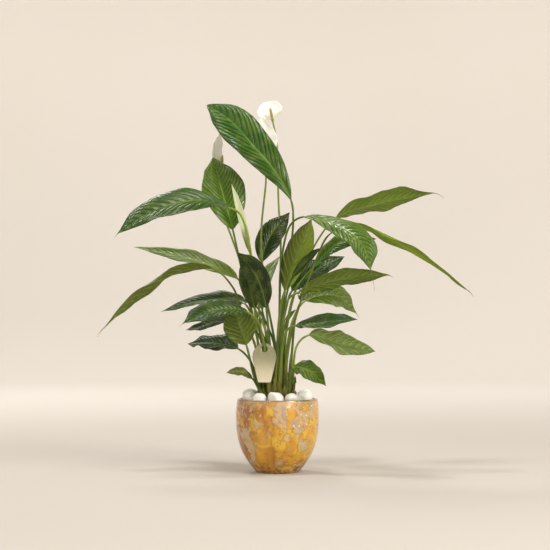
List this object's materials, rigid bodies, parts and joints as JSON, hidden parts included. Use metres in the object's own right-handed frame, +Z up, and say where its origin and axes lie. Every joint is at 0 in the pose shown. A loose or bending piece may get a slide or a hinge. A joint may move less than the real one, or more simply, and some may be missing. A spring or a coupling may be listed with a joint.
{
  "type": "potted peace lily",
  "caption": "Peace lily with arching pointed leaves and white hooded flowers, standing in a round-bellied glazed pot topped with white pebbles, with a blank card tag on one leaf stalk.",
  "frame": {"origin": "centre of the pot's flat foot, on the surface that it stands on", "axes": "+Z up, -Y towards the front of the plant, where the tag hangs, +X to the right as seen from the front"},
  "size_m": [0.6556, 0.3676, 0.683],
  "materials": {
    "pot_glaze": "gloss",
    "soil": "matte",
    "crown": "matte",
    "pebble": "satin",
    "leaf_deep": "satin",
    "leaf_fresh": "satin",
    "leaf_olive": "satin",
    "leaf_pale": "satin",
    "flower_stem": "satin",
    "spathe_white": "satin",
    "spathe_green": "satin",
    "spadix": "matte",
    "tag_card": "matte"
  },
  "bodies": {
    "root": {"pot": "pot_glaze", "potting_soil": "soil", "crown": "crown", "pebble_01": "pebble", "pebble_02": "pebble", "pebble_03": "pebble", "pebble_04": "pebble", "pebble_05": "pebble", "pebble_06": "pebble", "pebble_07": "pebble", "pebble_08": "pebble", "pebble_09": "pebble", "pebble_10": "pebble", "leaf_01": "leaf_deep", "leaf_02": "leaf_deep", "leaf_03": "leaf_fresh", "leaf_04": "leaf_pale", "leaf_05": "leaf_olive", "leaf_06": "leaf_deep", "leaf_07": "leaf_pale", "leaf_08": "leaf_deep", "leaf_09": "leaf_fresh", "leaf_10": "leaf_fresh", "leaf_11": "leaf_deep", "leaf_12": "leaf_olive", "leaf_13": "leaf_deep", "leaf_14": "leaf_pale", "leaf_15": "leaf_deep", "leaf_16": "leaf_pale", "leaf_17": "leaf_fresh", "leaf_18": "leaf_deep", "leaf_19": "leaf_olive", "leaf_20": "leaf_deep", "leaf_21": "leaf_deep", "leaf_22": "leaf_deep", "leaf_23": "leaf_deep", "leaf_24": "leaf_olive", "leaf_25": "leaf_fresh", "leaf_26": "leaf_deep", "leaf_27": "leaf_olive", "leaf_28": "leaf_deep", "leaf_29": "leaf_deep", "leaf_30": "leaf_olive", "leaf_31": "leaf_olive", "flower_1_stem": "flower_stem", "flower_1_spathe": "spathe_white", "flower_1_spadix": "spadix", "flower_2_stem": "flower_stem", "flower_2_spathe": "spathe_white", "flower_2_spadix": "spadix", "flower_3_stem": "flower_stem", "flower_3_spathe": "spathe_white", "flower_3_spadix": "spadix", "flower_4_stem": "flower_stem", "flower_4_spathe": "spathe_green", "flower_4_spadix": "spadix", "plant_tag": "tag_card"}
  },
  "joints": []
}
